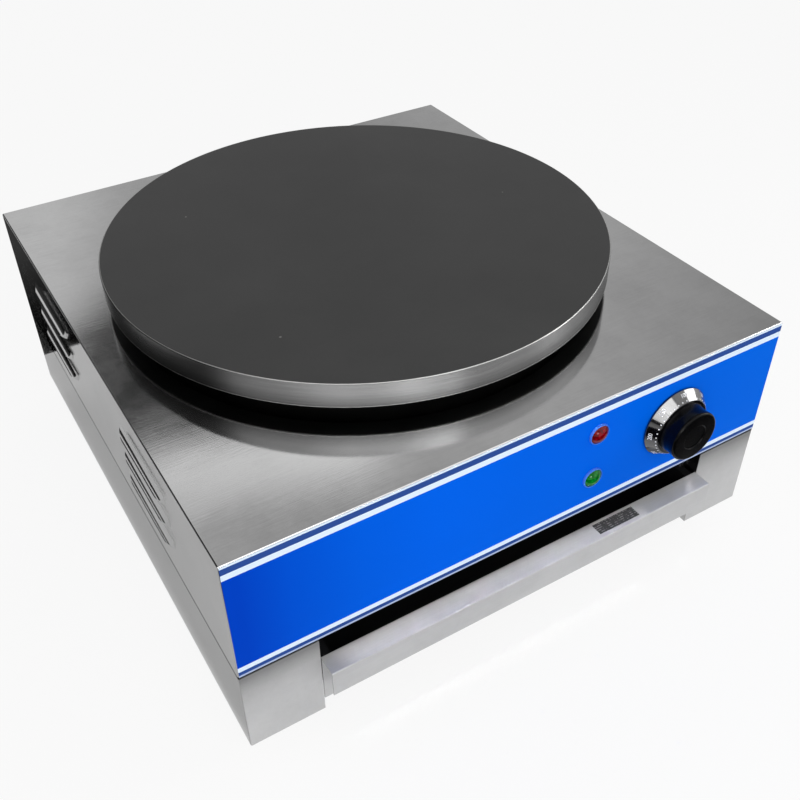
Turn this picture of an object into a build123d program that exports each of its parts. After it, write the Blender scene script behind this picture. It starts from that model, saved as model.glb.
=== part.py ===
"""Countertop electric crepe maker: a round cast-iron griddle plate on a folded
stainless steel body, with a thermostat knob, two lamps and a pull-out tool tray.

Sizes are in millimetres. X runs from left to right, Y from front to back and Z
up. The origin lies on the surface that the feet stand on, under the middle of
the overall box.
"""
from build123d import *
import os
from math import acos, asin, atan, cos, degrees, radians, sin, sqrt

# ---------------------------------------------------------------- body sheets
body_width = 453.5
body_depth = 484.5
body_height = 181.0  # from the underside of the base to the deck
cover_height = 104.0  # upper cover, from the deck down to the seam
sheet = 1.0
bend_radius = 1.2  # outside radius of every fold
seam_gap = 1.0
pillar_width = 57.0  # front return of the base, beside the tray
pillar_return = 12.0
base_flange = 46.0  # bottom fold of the base, over the feet
rear_flange = 18.0
lap_above = 14.0  # strip behind the seam, above and below it
lap_below = 8.0
roof_rise = 8.0  # roof of the tray bay above the seam
roof_flange = 12.0
bottom_setback = 30.0
bottom_edge_gap = 0.5
bottom_slot_length = 70.0
bottom_slot_width = 6.0
bottom_slot_columns = 3
bottom_slot_column_pitch = 95.0
bottom_slot_rows = 6
bottom_slot_row_pitch = 40.0

# ------------------------------------------------------------------- louvres
louvre_length = 87.0
louvre_reach = 3.5
louvre_height = 8.0  # lip to the crease
louvre_crease = 4.0  # angle between the wall and the sheet at the crease
louvre_ramp = 12.0
louvre_rows = 3
louvre_groups = 2
louvre_pitch = 21.0
louvre_top_drop = 31.0  # deck to the lip of the top row
louvre_group_gap = 129.0
louvre_front_offset = 94.0

# ---------------------------------------------------------------------- feet
foot_height = 22.5
foot_top_radius = 17.0
foot_bottom_radius = 14.5
foot_inset_x = 30.0
foot_inset_y = 42.0
foot_recess_radius = 8.0
foot_recess_depth = 8.0
foot_edge_round = 1.5

# ------------------------------------------------------------- griddle plate
plate_radius = 200.0
plate_rise = 31.5  # deck to the cooking surface
rim_height = 19.0
rim_width = 14.0
web_thickness = 12.0
rim_chamfer = 0.6
stud_depth = 8.0  # blind holes in the underside of the web
stud_count = 4
stud_turn = 45.0  # first stud, from the X axis
stud_nut_hole = 8.0  # radius of the openings round the nuts

# ------------------------------------------- collar, gasket, pan, insulation
collar_setback = 16.0  # rim to the outside of the collar
collar_wall = 1.5
collar_flange = 10.0
gasket_thickness = 1.5
gasket_width = 4.0
hole_margin = 2.0  # collar flange to the edge of the deck hole
pan_margin = 4.0  # deck hole to the wall of the heat pan
pan_sheet = 1.2
pan_drop = 12.0  # deck to the inside of the pan's floor
pan_flange_overlap = 6.0
insulation_gap = 1.0
collar_screw_count = 8

# ------------------------------------------------------------------ elements
element_names = ("element_inner", "element_middle", "element_outer")
element_radii = (60.0, 105.0, 150.0)
tube_radius = 4.25
tube_bend = 12.0
leg_half_spacing = 14.0
leg_drop = 30.0  # deck to the foot of a leg
pin_radius = 2.0
pin_length = 7.0
contact_gap = 0.1
clamp_thickness = 2.0
window_margin = 4.0
bush_wall = 2.0
bush_height = 8.0
bush_collar = 1.5
bush_collar_height = 2.0
link_width = 10.0
link_thickness = 1.2

# ---------------------------------------------------- controls on the front
overlay_thickness = 0.3
overlay_margin = 0.8  # sides and top of the front to the edges of the film
overlay_seam_margin = 0.4
knob_inset = 98.55  # right side of the body to the knob's axis
knob_drop = 51.5  # deck to the knob's axis
knob_gap = 0.5
knob_depth = 21.7  # back of the skirt to the face of the grip
skirt_radius = 29.2
skirt_edge = 1.2
skirt_height = 8.4
skirt_top_radius = 23.3
skirt_wall = 1.5
skirt_lean = 1.8  # wall of the cone, measured across
skirt_round = 0.5
grip_foot_radius = 21.2
grip_foot_round = 0.5
grip_waist_radius = 20.0
grip_waist_rise = 4.0  # top of the skirt to the waist
grip_flare = 12.0  # radius of the waist in profile
grip_face_radius = 20.8
grip_round = 1.9
recess_radius = 10.5
recess_depth = 0.8
recess_round = 0.3
hub_radius = 7.0
bushing_radius = 5.5
bushing_length = 14.0
bushing_setback = 2.0  # back of the skirt to the bushing and the hub
shaft_fit = 0.02
set_screw_rise = 5.0  # top of the skirt to the set screw
shaft_radius = 3.0
shaft_behind = 10.0
running_gap = 0.05
set_screw_radius = 2.0
set_screw_length = 6.0
thermostat_width = 48.0
thermostat_depth = 38.0
thermostat_height = 40.0
boss_radius = 6.0
boss_proud = 1.0
thermostat_screw_half_pitch = 14.0
thermostat_screw_depth = 8.0
thermostat_corner = 3.0
spade_width = 6.4
spade_thickness = 0.8
spade_length = 8.0
spade_half_pitch = 12.0
spade_drop = 6.0  # knob's axis to the thermostat's spades
lamp_inset = 173.05  # right side of the body to the lamps
lamp_drop = 50.45  # deck to the middle between the lamps
lamp_half_spacing = 20.75
lens_radius = 7.5
lens_rise = 4.8
lens_base = 1.2
bezel_radius = 8.5
bezel_height = 1.8
bezel_edge = 0.8
bezel_slope = 0.4
bezel_round = 0.15
lamp_body_radius = 6.0
lamp_body_length = 24.0
lamp_nut_flats = 16.0
lamp_nut_height = 4.0
lamp_spade_width = 4.8
lamp_spade_half_pitch = 2.5

# -------------------------------------------------------------- sensing bulb
bulb_radius = 3.0
bulb_length = 80.0
bulb_round = 1.8
bulb_tail = 14.0  # end of the bulb to where the capillary turns down
capillary_bend = 8.0
capillary_rise = 6.0  # foot of the legs to the capillary's run
capillary_radius = 0.9
capillary_hole = 3.0
clip_width = 12.0
clip_strap = 1.0
clip_ear = 9.0

# ------------------------------------------------------------ rear and mains
gland_inset = 76.75  # right side of the body to the gland and the terminal block
gland_drop = 72.0
gland_bore = 4.5
gland_stem_radius = 8.0
gland_hex = 22.0
gland_hex_height = 5.0
gland_reach = 22.0
gland_nose_radius = 10.0
gland_nose_round = 4.0
gland_stem = 14.0
gland_nut_height = 4.5
bond_inset = 34.75  # right side of the body to the bonding stud
bond_stud_radius = 3.0
bond_stud_reach = 16.0
bond_stud_tail = 12.0
bond_stud_chamfer = 0.5
bond_groove_width = 0.8  # thread runout past the outer nut
bond_groove_depth = 0.4
rear_margin = 5.0
rear_screw_edge = 10.0  # edge of the body to the screws' centres
rear_screw_half_pitch = 70.0
rear_screw_offsets = (18.0, -18.0, 36.0)  # above the base, below and above the seam
rear_screw_length = 8.0
vent_width = 5.0
vent_length = 40.0
vent_count = 8
vent_pitch = 14.0
vent_drop = 62.0
vent_inset = 96.75  # left side of the body to the middle of the first group
vent_group_pitch = 145.0
vent_groups = 2
block_width = 48.0
block_depth = 24.0
block_height = 22.0
block_setback = 46.0
pole_radius = 2.5
pole_screw_gap = 0.1
pole_screw_drop = 1.0  # top of the block to the top of its screws
pole_grip = 8.0  # wire inside a pole
block_screw_depth = 4.0
wire_radius = 1.6
wire_bend = 10.0
wire_end_gap = 0.2
wire_lead = 24.0  # straight run at the terminal block

# ---------------------------------------------------------------------- tray
ledge_drop = 125.0  # deck to the ledge
ledge_reach = 15.0
ledge_back_round = 0.4
lip_height = 23.0
tray_front_bottom = 11.0  # above the underside of the base
tray_side_gap = 0.7
tray_recess = 0.3
pan_inset = 7.05  # end of the tray's front to the wall of the pan
pan_rim = 6.0
pan_length = 380.0
pan_top_drop = 2.0  # ledge to the rim of the pan
pan_rise = 1.0  # bottom of the front to the bottom of the pan
slide_gap = 0.3
runner_sheet = 1.2
runner_side_gap = 0.6
runner_shelf = 17.0
runner_lip = 5.0
runner_foot = 14.0
runner_start = 14.0
label_width = 38.5
label_depth = 10.0
label_thickness = 0.3
label_inset = 146.65  # right side of the body to the middle of the label
label_setback = 6.4  # front of the body to the middle of the label

# ----------------------------------------------------------------- fasteners
small_screw = 2.0  # shank radii
small_head = 3.5
small_head_height = 2.2
small_head_round = 1.3
small_flats = 7.0
small_nut = 3.2
foot_screw = 3.0
foot_head = 5.0
foot_head_height = 4.0
foot_flats = 10.0
foot_nut = 5.0
plate_stud = 4.0
plate_flats = 13.0
plate_nut = 6.5
washer_thickness = 1.6
screw_tail = 2.0  # past the nut
cross_length = 3.6
cross_width = 0.7
cross_depth = 0.8
hole_gap = 0.2
tip_gap = 1.0  # end of a screw to the bottom of its hole
over = 1.0  # how far a cutter passes the face it cuts

# ---------------------------------------------------------- derived positions
left = -body_width / 2
right = body_width / 2
front_reach = overlay_thickness + knob_gap + knob_depth
rear_reach = sheet + gland_reach
front = (front_reach - rear_reach - body_depth) / 2
back = front + body_depth
base_z = foot_height
deck_z = base_z + body_height
seam_z = deck_z - cover_height
base_top_z = seam_z - seam_gap
roof_z = seam_z + roof_rise  # top face of the roof
plate_y = (front + back) / 2
plate_top_z = deck_z + plate_rise
rim_z = plate_top_z - rim_height
web_z = plate_top_z - web_thickness
recess_wall_radius = plate_radius - rim_width
collar_radius = plate_radius - collar_setback
collar_inside = collar_radius - collar_wall
flange_inside = collar_radius - collar_flange
deck_hole_radius = flange_inside - hole_margin
pan_radius = deck_hole_radius - pan_margin
pan_flange_radius = collar_radius + pan_flange_overlap
pan_floor_z = deck_z - pan_drop
screw_circle = (collar_inside + flange_inside) / 2
element_z = web_z - contact_gap - tube_radius
clamp_top_z = element_z - tube_radius - contact_gap
clamp_z = clamp_top_z - clamp_thickness
leg_end_z = deck_z - leg_drop
stud_circle = (element_radii[1] + element_radii[2]) / 2
bulb_circle = (element_radii[0] + element_radii[1]) / 2
bulb_y = plate_y - bulb_circle
bulb_z = web_z - contact_gap - bulb_radius
knob_x = right - knob_inset
knob_z = deck_z - knob_drop
lamp_x = right - lamp_inset
gland_x = right - gland_inset
bond_x = right - bond_inset
rear_entry_z = deck_z - gland_drop
thermostat_back = front + sheet + thermostat_depth
ledge_z = deck_z - ledge_drop
tray_bottom_z = base_z + tray_front_bottom
pan_bottom_z = tray_bottom_z + pan_rise
pan_top_z = ledge_z - pan_top_drop
tray_half_width = body_width / 2 - pillar_width - tray_side_gap
pan_half_width = tray_half_width - pan_inset
pan_front = front + tray_recess + sheet
pan_back = pan_front + pan_length
block_x = gland_x
block_y = back - block_setback - block_depth / 2
wire_z = roof_z + block_height / 2


# -------------------------------------------------------------------- helpers
def block(x0, x1, y0, y1, z0, z1):
    """A box between two opposite corners."""
    centre = Pos((x0 + x1) / 2, (y0 + y1) / 2, (z0 + z1) / 2)
    return centre * Box(x1 - x0, y1 - y0, z1 - z0)


def rod_z(x, y, radius, z0, z1):
    """An upright cylinder."""
    return Pos(x, y, (z0 + z1) / 2) * Cylinder(radius, z1 - z0)


def rod_y(x, z, radius, y0, y1):
    """A cylinder along Y."""
    return Pos(x, (y0 + y1) / 2, z) * Rot(90, 0, 0) * Cylinder(radius, y1 - y0)


def rod_x(y, z, radius, x0, x1):
    """A cylinder along X."""
    return Pos((x0 + x1) / 2, y, z) * Rot(0, 90, 0) * Cylinder(radius, x1 - x0)


def nut_z(x, y, flats, bore, z0, z1):
    """A hexagonal nut round an upright bore."""
    prism = Pos(x, y, z0) * extrude(RegularPolygon(flats / 2, 6, major_radius=False), z1 - z0)
    return prism - rod_z(x, y, bore, z0 - over, z1 + over)


def ring_z(x, y, outside, inside, z0, z1):
    """An upright tube or washer."""
    return rod_z(x, y, outside, z0, z1) - rod_z(x, y, inside, z0 - over, z1 + over)


def turned(points, radii=0.0):
    """A solid turned about Z from an outline of (radius, height) points."""
    outline = FilletPolyline(*[(r, 0, z) for r, z in points], radius=radii, close=True)
    return revolve(make_face(outline), Axis.Z)


def tube(points, radius, bend):
    """A round tube along straight runs joined by arcs."""
    path = FilletPolyline(*points, radius=bend)
    section = Plane(origin=path @ 0, z_dir=path % 0) * Circle(radius)
    return sweep(section, path=path)


def on_panel(x, z):
    """A frame on the front panel: local Z points out of it and local Y up."""
    return Pos(x, front, z) * Rot(90, 0, 0)


def on_rear(x, z):
    """A frame on the rear cover: local Z points out of it."""
    return Pos(x, back + sheet, z) * Rot(-90, 0, 0)


def on_circle(radius, count, first=0.0):
    """Points of a pattern round the plate's axis."""
    centre = Pos(0, plate_y, 0)
    turns = [first + 360 * i / count for i in range(count)]
    return [(centre * Rot(0, 0, a) * Pos(radius, 0, 0)).position for a in turns]


def mirrored(solid):
    """The same piece on the other side of the body."""
    return mirror(solid, about=Plane.YZ)


def save(node, *pieces):
    """Write one node, as a solid or as a group of separate solids."""
    solids = [solid for piece in pieces for solid in piece.solids()]
    shape = solids[0] if len(solids) == 1 else Compound(children=solids)
    export_step(shape, f"parts/{node}.step")


# --------------------------------------------------------------- upper cover
def louvre_plan(inset, depth):
    """Outline of a louvre in plan, from its long edge to a depth in the sheet."""
    arc = (louvre_ramp**2 + louvre_reach**2) / (2 * louvre_reach)
    centre_x = arc - louvre_reach
    radius = arc - inset
    turn = degrees(acos(centre_x / radius))
    near = louvre_ramp
    far = louvre_length - louvre_ramp
    long_edge = Line((inset - louvre_reach, near), (inset - louvre_reach, far))
    near_arc = CenterArc((centre_x, near), radius, 180, turn)
    far_arc = CenterArc((centre_x, far), radius, 180, -turn)
    corners = [(depth, (near_arc @ 1).Y), (depth, (far_arc @ 1).Y)]
    return make_face([long_edge, near_arc, far_arc, Polyline(near_arc @ 1, *corners, far_arc @ 1)])


def louvre_section(inset, depth):
    """Section under a louvre's wall, which flares from the crease out to the lip."""
    crease = radians(louvre_crease)
    lip_turn = 2 * atan(louvre_reach / louvre_height) - crease
    flare = louvre_reach / (cos(crease) - cos(lip_turn))
    centre_x = -flare * cos(crease)
    centre_z = louvre_height + flare * sin(crease)
    radius = flare + inset
    low = asin(centre_z / radius)
    high = acos((inset - centre_x) / radius)
    wall = CenterArc((centre_x, centre_z), radius, degrees(-low), degrees(low - high))
    corners = [(depth, (wall @ 1).Y), (depth, 0)]
    return Plane.XZ * make_face([wall, Polyline(wall @ 1, *corners, wall @ 0)])


def louvre_form(inset, depth):
    """A louvre on the left side; inset is zero outside its wall and one sheet inside."""
    bar = extrude(louvre_section(inset, depth), louvre_length + 2 * over, dir=(0, 1, 0))
    ends = extrude(louvre_plan(inset, depth), louvre_height + 2 * over)
    return (Pos(0, -over, 0) * bar) & (Pos(0, 0, -over) * ends)


def top_cover():
    """Deck, front and sides, folded from one sheet."""
    outer = block(left, right, front, back, seam_z, deck_z)
    rounded = outer.edges().group_by(Axis.Z)[-1] + outer.edges().filter_by(Axis.Z)
    outer = fillet(rounded, bend_radius)
    inner = block(left + sheet, right - sheet, front + sheet, back - sheet, seam_z - over, deck_z - sheet)
    hollow = inner.edges().group_by(Axis.Z)[-1] + inner.edges().filter_by(Axis.Z)
    cover = outer - fillet(hollow, bend_radius - sheet)
    cover -= block(
        left + rear_flange, right - rear_flange, back - 2 * sheet, back + over,
        seam_z - over, deck_z - rear_flange,
    )
    cover -= rod_z(0, plate_y, deck_hole_radius, deck_z - 2 * sheet, deck_z + over)
    for spot in on_circle(screw_circle, collar_screw_count):
        cover -= rod_z(spot.X, spot.Y, small_screw + hole_gap, deck_z - 2 * sheet, deck_z + over)
    for x, z, radius in panel_holes():
        cover -= rod_y(x, z, radius, front - over, front + 2 * sheet)
    for x, z in rear_screw_places():
        if z > seam_z:
            cover -= rod_y(x, z, small_screw + hole_gap, back - 2 * sheet, back + over)
    wall = louvre_form(0, sheet / 2)
    space = louvre_form(sheet, sheet + over)
    group_pitch = louvre_length + louvre_group_gap
    for group in range(louvre_groups):
        for row in range(louvre_rows):
            y0 = front + louvre_front_offset + group * group_pitch
            place = Pos(left, y0, deck_z - louvre_top_drop - row * louvre_pitch)
            cover += [place * wall, mirrored(place * wall)]
            cover -= [place * space, mirrored(place * space)]
    return cover


def panel_holes():
    """Places and radii of the holes for the thermostat and the lamps."""
    lamps = [(lamp_x, z, lamp_body_radius + hole_gap) for z in lamp_heights()]
    screws = [(x, knob_z, small_screw + hole_gap) for x in thermostat_screw_xs()]
    return [(knob_x, knob_z, boss_radius + hole_gap)] + lamps + screws


def lamp_heights():
    middle = deck_z - lamp_drop
    return middle + lamp_half_spacing, middle - lamp_half_spacing


def thermostat_screw_xs():
    return knob_x - thermostat_screw_half_pitch, knob_x + thermostat_screw_half_pitch


def panel_overlay():
    """Printed film on the front."""
    film = block(
        left + overlay_margin, right - overlay_margin, front - overlay_thickness, front,
        seam_z + overlay_seam_margin, deck_z - overlay_margin,
    )
    for x, z, radius in panel_holes():
        film -= rod_y(x, z, radius, front - over, front + over)
    return film


# ---------------------------------------------------------------------- base
def base_side():
    """Left side of the base: wall, front pillar, bottom fold and rear return."""
    outer = block(left, left + pillar_width, front, back, base_z, base_top_z)
    corner = outer.edges().filter_by(Axis.Z).group_by(Axis.X)[0]
    low = outer.edges().filter_by(Axis.Y).group_by(Axis.X)[0].group_by(Axis.Z)[0]
    outer = fillet(corner + low, bend_radius)
    inner = block(
        left + sheet, left + pillar_width + over, front + sheet, back - sheet,
        base_z + sheet, base_top_z + over,
    )
    side = outer - inner
    side -= block(
        left + base_flange, left + pillar_width + over, front + pillar_return, back + over,
        base_z - over, base_z + 2 * sheet,
    )
    side -= block(
        left + rear_flange, left + pillar_width + over, back - 2 * sheet, back + over,
        base_z - over, base_top_z + over,
    )
    side -= block(
        left + base_flange, left + pillar_width - sheet, front + sheet, front + pillar_return + over,
        base_z - over, base_z + 2 * sheet,
    )
    side += block(
        left + pillar_width - sheet, left + pillar_width, front, front + pillar_return,
        base_z, base_top_z,
    )
    side += block(
        left + sheet, left + 2 * sheet, front + rear_flange, back - rear_flange,
        seam_z - lap_below, seam_z + lap_above,
    )
    for x, y in foot_places():
        if x < 0:
            side -= rod_z(x, y, foot_screw + hole_gap, base_z - over, base_z + 2 * sheet)
    for x, z in rear_screw_places():
        if x < 0 and z < seam_z:
            side -= rod_y(x, z, small_screw + hole_gap, back - 2 * sheet, back + over)
    return side


def foot_places():
    xs = (left + foot_inset_x, right - foot_inset_x)
    ys = (front + foot_inset_y, back - foot_inset_y)
    return [(x, y) for x in xs for y in ys]


def bottom_plate():
    """Floor of the body, with cooling slots."""
    gap = bottom_edge_gap
    top = base_z + 2 * sheet
    plate = block(
        left + sheet + gap, right - sheet - gap, front + bottom_setback, back - sheet - gap,
        base_z + sheet, top,
    )
    for column in range(bottom_slot_columns):
        for row in range(bottom_slot_rows):
            x = (column - (bottom_slot_columns - 1) / 2) * bottom_slot_column_pitch
            y = plate_y + (row - (bottom_slot_rows - 1) / 2) * bottom_slot_row_pitch
            slot = extrude(SlotOverall(bottom_slot_length, bottom_slot_width), 2 * sheet)
            plate -= Pos(x, y, base_z + sheet / 2) * slot
    for x, y in foot_places():
        plate -= rod_z(x, y, foot_screw + hole_gap, base_z, top + over)
    return plate


def tray_bay_roof():
    """Sheet between the tray and the parts above it, hung on the lap strips."""
    x0 = left + 2 * sheet
    x1 = right - 2 * sheet
    y0 = front + rear_flange
    y1 = back - rear_flange
    roof = block(x0, x1, y0, y1, roof_z - roof_flange, roof_z)
    roof -= block(x0 + sheet, x1 - sheet, y0 - over, y1 + over, roof_z - roof_flange - over, roof_z - sheet)
    for x in block_screw_xs():
        roof -= rod_z(x, block_y, small_screw + hole_gap, roof_z - 2 * sheet, roof_z + over)
    return roof


def rear_screw_places():
    """Screws through the rear cover into the flanges round it."""
    side_x = right - rear_screw_edge
    top_z = deck_z - rear_screw_edge
    low, below_seam, above_seam = rear_screw_offsets
    heights = (base_z + low, seam_z + below_seam, seam_z + above_seam, top_z)
    places = [(x, z) for x in (-side_x, side_x) for z in heights]
    return places + [(x, top_z) for x in (-rear_screw_half_pitch, rear_screw_half_pitch)]


def rear_cover():
    """Flat rear panel with cooling slots, cable hole and bonding stud hole."""
    cover = block(
        left + rear_margin, right - rear_margin, back, back + sheet,
        base_z + rear_margin, deck_z - rear_margin,
    )
    for x, z in rear_screw_places():
        cover -= rod_y(x, z, small_screw + hole_gap, back - over, back + 2 * sheet)
    for group in range(vent_groups):
        for i in range(vent_count):
            middle = left + vent_inset + group * vent_group_pitch
            x = middle + (i - (vent_count - 1) / 2) * vent_pitch
            vent = extrude(SlotOverall(vent_length, vent_width, rotation=90), 4 * sheet)
            cover -= on_rear(x, deck_z - vent_drop) * Pos(0, 0, -2 * sheet) * vent
    cover -= rod_y(gland_x, rear_entry_z, gland_stem_radius + hole_gap, back - over, back + sheet + over)
    cover -= rod_y(bond_x, rear_entry_z, bond_stud_radius + hole_gap, back - over, back + sheet + over)
    return cover


def rear_screws():
    screws = []
    for x, z in rear_screw_places():
        head = Pos(0, 0, small_head_height / 2) * Cylinder(small_head, small_head_height)
        head = fillet(head.edges().group_by(Axis.Z)[-1], small_head_round)
        shank = Pos(0, 0, -rear_screw_length / 2) * Cylinder(small_screw, rear_screw_length)
        bar = Box(cross_length, cross_width, 2 * cross_depth)
        cross = Pos(0, 0, small_head_height) * (bar + Rot(0, 0, 90) * bar)
        screws.append(on_rear(x, z) * (head + shank - cross))
    return screws


# ---------------------------------------------------------------------- feet
def foot(x, y):
    """A tapered rubber foot, counterbored from below for its screw."""
    body = turned([
        (foot_screw + hole_gap, foot_recess_depth),
        (foot_recess_radius, foot_recess_depth),
        (foot_recess_radius, 0),
        (foot_bottom_radius, 0),
        (foot_top_radius, foot_height),
        (foot_screw + hole_gap, foot_height),
    ], (0, 0, 0, foot_edge_round, 0, 0))
    return Pos(x, y, 0) * body


def foot_screws():
    screws = []
    for x, y in foot_places():
        top = base_z + 2 * sheet + foot_nut + screw_tail
        head = rod_z(x, y, foot_head, foot_recess_depth - foot_head_height, foot_recess_depth)
        screws.append(head + rod_z(x, y, foot_screw, foot_recess_depth, top))
    return screws


def foot_nuts():
    z0 = base_z + 2 * sheet
    return [nut_z(x, y, foot_flats, foot_screw, z0, z0 + foot_nut) for x, y in foot_places()]


# -------------------------------------------------------------- plate group
def leg_x(radius):
    """Distance of an element's two legs from the plate's axis, along X."""
    return sqrt(radius**2 + tube_bend**2 - leg_half_spacing**2)


def leg_places():
    return [(leg_x(r), plate_y + s * leg_half_spacing) for r in element_radii for s in (-1, 1)]


def stud_spots():
    return on_circle(stud_circle, stud_count, stud_turn)


def griddle_plate():
    """Cast-iron plate: a turned rim round a thinner web."""
    plate = turned([
        (0, web_z),
        (recess_wall_radius, web_z),
        (recess_wall_radius, rim_z),
        (plate_radius, rim_z),
        (plate_radius, plate_top_z),
        (0, plate_top_z),
    ])
    plate = Pos(0, plate_y, 0) * plate
    rim_edges = plate.edges().group_by(Axis.Z)[-1]
    plate = chamfer(rim_edges, rim_chamfer)
    for spot in stud_spots():
        plate -= rod_z(spot.X, spot.Y, plate_stud + running_gap, web_z - over, web_z + stud_depth + hole_gap)
    for y in clip_screw_ys():
        plate -= rod_z(0, y, small_screw + running_gap, web_z - over, web_z + stud_depth)
    return plate


def collar_ring():
    """Black enamelled ring that carries the plate on the deck."""
    top = web_z - gasket_thickness
    ring = ring_z(0, plate_y, collar_radius, collar_inside, deck_z, top)
    ring += ring_z(0, plate_y, collar_radius, flange_inside, deck_z, deck_z + collar_wall)
    for spot in on_circle(screw_circle, collar_screw_count):
        ring -= rod_z(spot.X, spot.Y, small_screw + hole_gap, deck_z - over, deck_z + 2 * collar_wall)
    return ring


def plate_gasket():
    middle = (collar_radius + collar_inside) / 2
    half = gasket_width / 2
    return ring_z(0, plate_y, middle + half, middle - half, web_z - gasket_thickness, web_z)


def heat_pan():
    """Pan under the deck that holds the insulation."""
    top = deck_z - sheet
    floor = pan_floor_z - pan_sheet
    pan = rod_z(0, plate_y, pan_radius, floor, top)
    pan -= rod_z(0, plate_y, pan_radius - pan_sheet, pan_floor_z, top + over)
    pan += ring_z(0, plate_y, pan_flange_radius, pan_radius - pan_sheet, top - pan_sheet, top)
    for spot in on_circle(screw_circle, collar_screw_count):
        pan -= rod_z(spot.X, spot.Y, small_screw + hole_gap, floor, top + over)
    for spot in stud_spots():
        pan -= rod_z(spot.X, spot.Y, plate_stud + hole_gap, floor - over, pan_floor_z + over)
    for x, y in leg_places():
        pan -= rod_z(x, y, tube_radius + bush_wall + hole_gap, floor - over, pan_floor_z + over)
    pan -= rod_z(capillary_x(), bulb_y, capillary_hole, floor - over, pan_floor_z + over)
    return pan


def collar_screws():
    top = deck_z + collar_wall
    low = deck_z - sheet - pan_sheet - small_nut - screw_tail
    screws = []
    for spot in on_circle(screw_circle, collar_screw_count):
        head = rod_z(spot.X, spot.Y, small_head, top, top + small_head_height)
        screws.append(head + rod_z(spot.X, spot.Y, small_screw, low, top))
    return screws


def collar_nuts():
    top = deck_z - sheet - pan_sheet
    spots = on_circle(screw_circle, collar_screw_count)
    return [nut_z(s.X, s.Y, small_flats, small_screw, top - small_nut, top) for s in spots]


def element(radius):
    """Tubular heating element: a ring whose two ends bend down to their legs."""
    end_turn = degrees(asin(leg_half_spacing / sqrt(radius**2 + tube_bend**2)) + atan(tube_bend / radius))
    circle = Pos(radius, 0, 0) * Rot(90, 0, 0) * Circle(tube_radius)
    ring = Rot(0, 0, end_turn) * revolve(circle, Axis.Z, 360 - 2 * end_turn)
    bend = revolve(circle, Axis((0, 0, -tube_bend), (1, 0, 0)), 90)
    leg_top = element_z - tube_bend
    leg = Pos(radius, -tube_bend, (leg_end_z - leg_top) / 2 - tube_bend)
    leg = leg * Cylinder(tube_radius, leg_top - leg_end_z)
    pin = Pos(radius, -tube_bend, leg_end_z - element_z - pin_length / 2)
    pin = pin * Cylinder(pin_radius, pin_length)
    end = Rot(0, 0, end_turn) * (bend + leg + pin)
    other = mirror(end, about=Plane.XZ)
    return Pos(0, plate_y, element_z) * (ring + end + other)


def element_window(z0, z1):
    """Cutter for the opening that the bent ends pass through."""
    half = leg_half_spacing + tube_bend + tube_radius + window_margin
    x0 = leg_x(element_radii[0]) - tube_radius - 2 * window_margin
    x1 = leg_x(element_radii[-1]) + tube_radius + window_margin
    return block(x0, x1, plate_y - half, plate_y + half, z0, z1)


def element_clamp():
    """Steel disc that presses the elements against the plate."""
    z0 = clamp_z - over
    z1 = clamp_top_z + over
    disc = rod_z(0, plate_y, pan_radius - pan_sheet - insulation_gap, clamp_z, clamp_top_z)
    disc -= element_window(z0, z1)
    for spot in stud_spots():
        disc -= rod_z(spot.X, spot.Y, plate_stud + hole_gap, z0, z1)
    return disc - rod_z(capillary_x(), bulb_y, capillary_hole, z0, z1)


def insulation_disc():
    """Ceramic wool between the clamp and the pan."""
    z0 = pan_floor_z - over
    z1 = clamp_z + over
    disc = rod_z(0, plate_y, pan_radius - pan_sheet - insulation_gap, pan_floor_z, clamp_z)
    disc -= element_window(z0, z1)
    for spot in stud_spots():
        disc -= rod_z(spot.X, spot.Y, stud_nut_hole, z0, z1)
    return disc - rod_z(capillary_x(), bulb_y, capillary_hole, z0, z1)


def plate_studs():
    low = pan_floor_z - pan_sheet - washer_thickness - plate_nut - screw_tail
    spots = stud_spots()
    return [rod_z(s.X, s.Y, plate_stud, low, web_z + stud_depth) for s in spots]


def plate_nuts():
    """Upper nuts hold the clamp, lower ones pull the pan and plate together."""
    nuts = []
    lower = pan_floor_z - pan_sheet - washer_thickness
    for s in stud_spots():
        for top in (clamp_z, lower):
            nuts.append(nut_z(s.X, s.Y, plate_flats, plate_stud, top - plate_nut, top))
    return nuts


def plate_washers():
    top = pan_floor_z - pan_sheet
    low = top - washer_thickness
    spots = stud_spots()
    return [ring_z(s.X, s.Y, 2 * plate_stud, plate_stud + hole_gap, low, top) for s in spots]


def element_bushes():
    """Ceramic bushes round the legs in the pan's floor."""
    low = pan_floor_z - pan_sheet / 2 - bush_height / 2
    wide = tube_radius + bush_wall
    bushes = []
    for x, y in leg_places():
        bush = ring_z(x, y, wide, tube_radius + contact_gap, low, low + bush_height)
        top = pan_floor_z + bush_collar_height
        collar = ring_z(x, y, wide + bush_collar, tube_radius + contact_gap, pan_floor_z, top)
        bushes.append(bush + collar)
    return bushes


def element_links():
    """Two straps that join the legs in parallel."""
    x0 = leg_x(element_radii[0]) - link_width / 2
    x1 = leg_x(element_radii[-1]) + link_width / 2
    low = leg_end_z - link_thickness
    links = []
    for side in (-1, 1):
        y = plate_y + side * leg_half_spacing
        strap = block(x0, x1, y - link_width / 2, y + link_width / 2, low, leg_end_z)
        for radius in element_radii:
            strap -= rod_z(leg_x(radius), y, pin_radius + hole_gap, low - over, leg_end_z + over)
        links.append(strap)
    return links


def link_nuts():
    top = leg_end_z - link_thickness
    return [nut_z(x, y, small_flats, pin_radius, top - small_nut, top) for x, y in leg_places()]


# ----------------------------------------------- thermostat, bulb, capillary
def capillary_x():
    """Where the capillary turns down, just past the end of the bulb."""
    return bulb_length / 2 + bulb_tail


def clip_screw_ys():
    offset = bulb_radius + clip_strap + clip_ear / 2
    return bulb_y - offset, bulb_y + offset


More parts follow.
